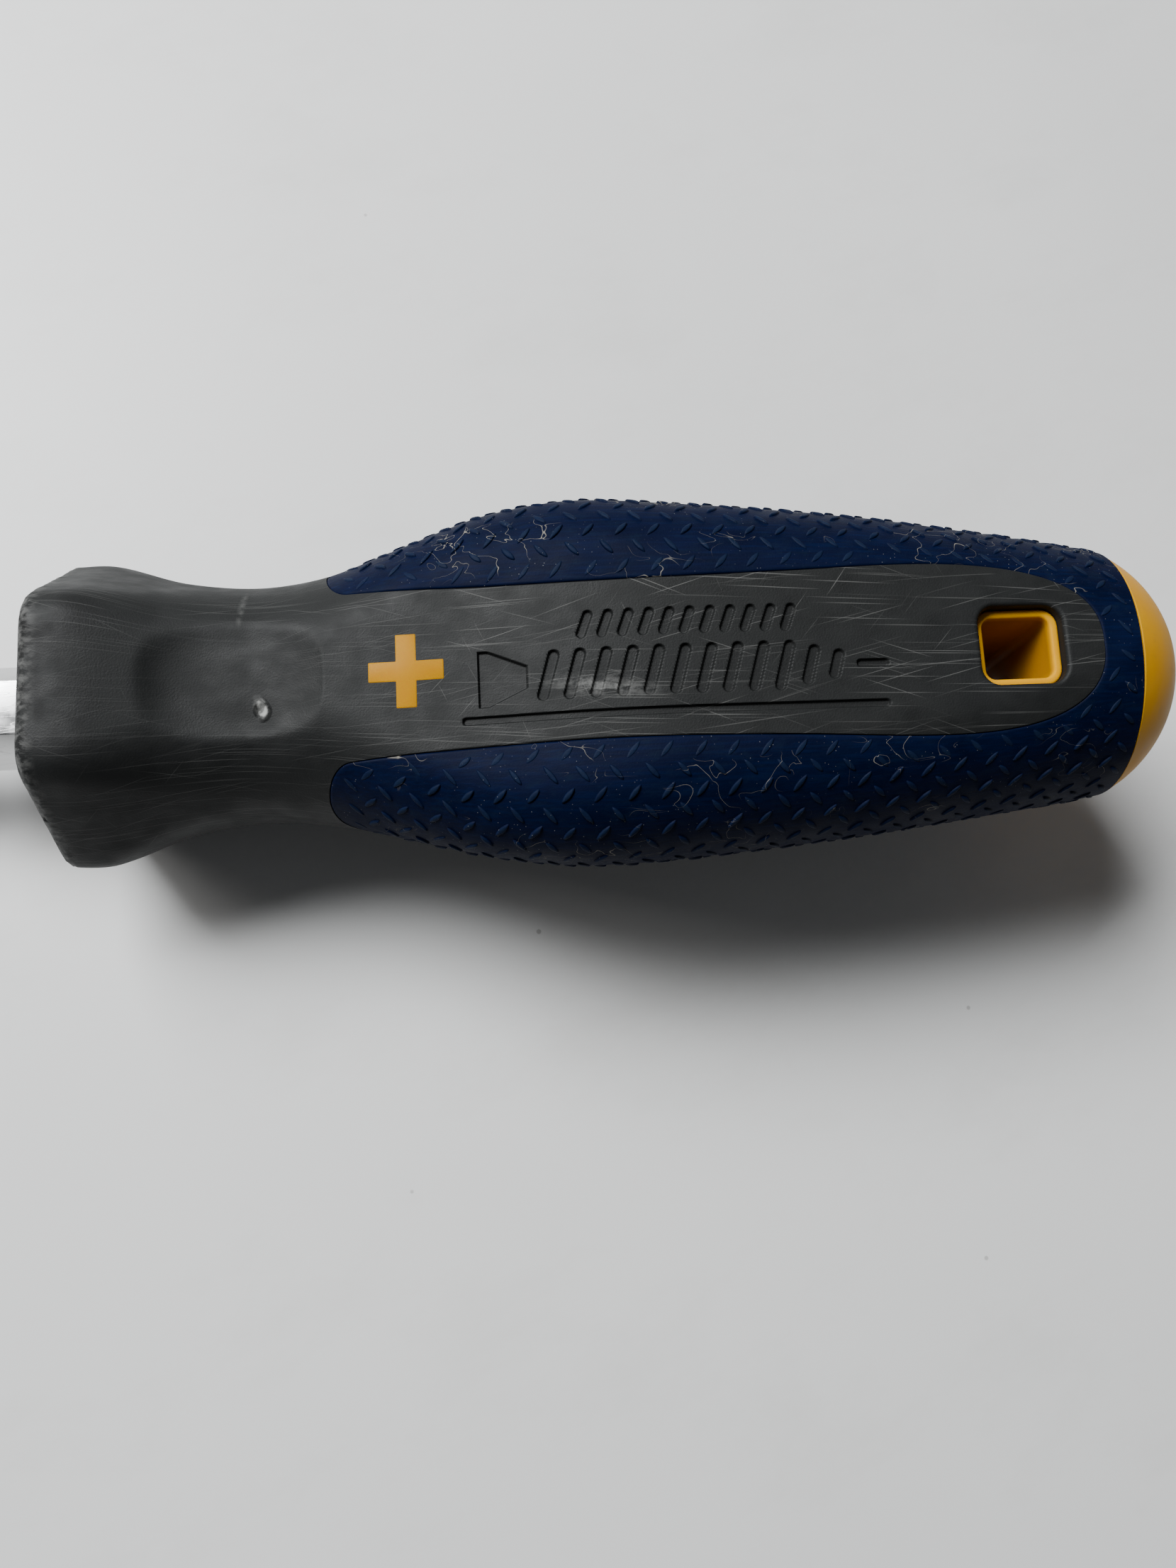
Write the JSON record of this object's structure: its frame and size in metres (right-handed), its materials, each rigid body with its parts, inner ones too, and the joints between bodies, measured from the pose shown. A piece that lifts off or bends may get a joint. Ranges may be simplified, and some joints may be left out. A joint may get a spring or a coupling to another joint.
{
  "type": "screwdriver",
  "caption": "Cross-point screwdriver with a round shank, hexagonal bolster and a three-lobed soft-grip handle with a lanyard hole.",
  "frame": {"origin": "on the tool's axis, where the round shank leaves the front face of the hexagonal bolster", "axes": "+X along the tool from the tip towards the end cap, +Z out of one of the three flat grey panels of the handle, +Y across it"},
  "size_m": [0.2171, 0.037, 0.0346],
  "materials": {
    "steel_blade": "satin nickel-chrome plate with fine lengthwise scratches and a darker tip",
    "bolster_steel": "bright chrome plate, slightly pitted and scuffed",
    "amber_plastic": "slightly translucent amber plastic, satin from handling",
    "grey_plastic": "dark grey hard plastic with many fine lengthwise scratches and light scuffs",
    "blue_rubber": "navy soft rubber with raised slanted tread bars, dusty in the recesses"
  },
  "bodies": {
    "root": {"blade": "steel_blade", "hex_bolster": "bolster_steel", "core": "amber_plastic", "shell": "grey_plastic", "grip": "blue_rubber"}
  },
  "joints": []
}
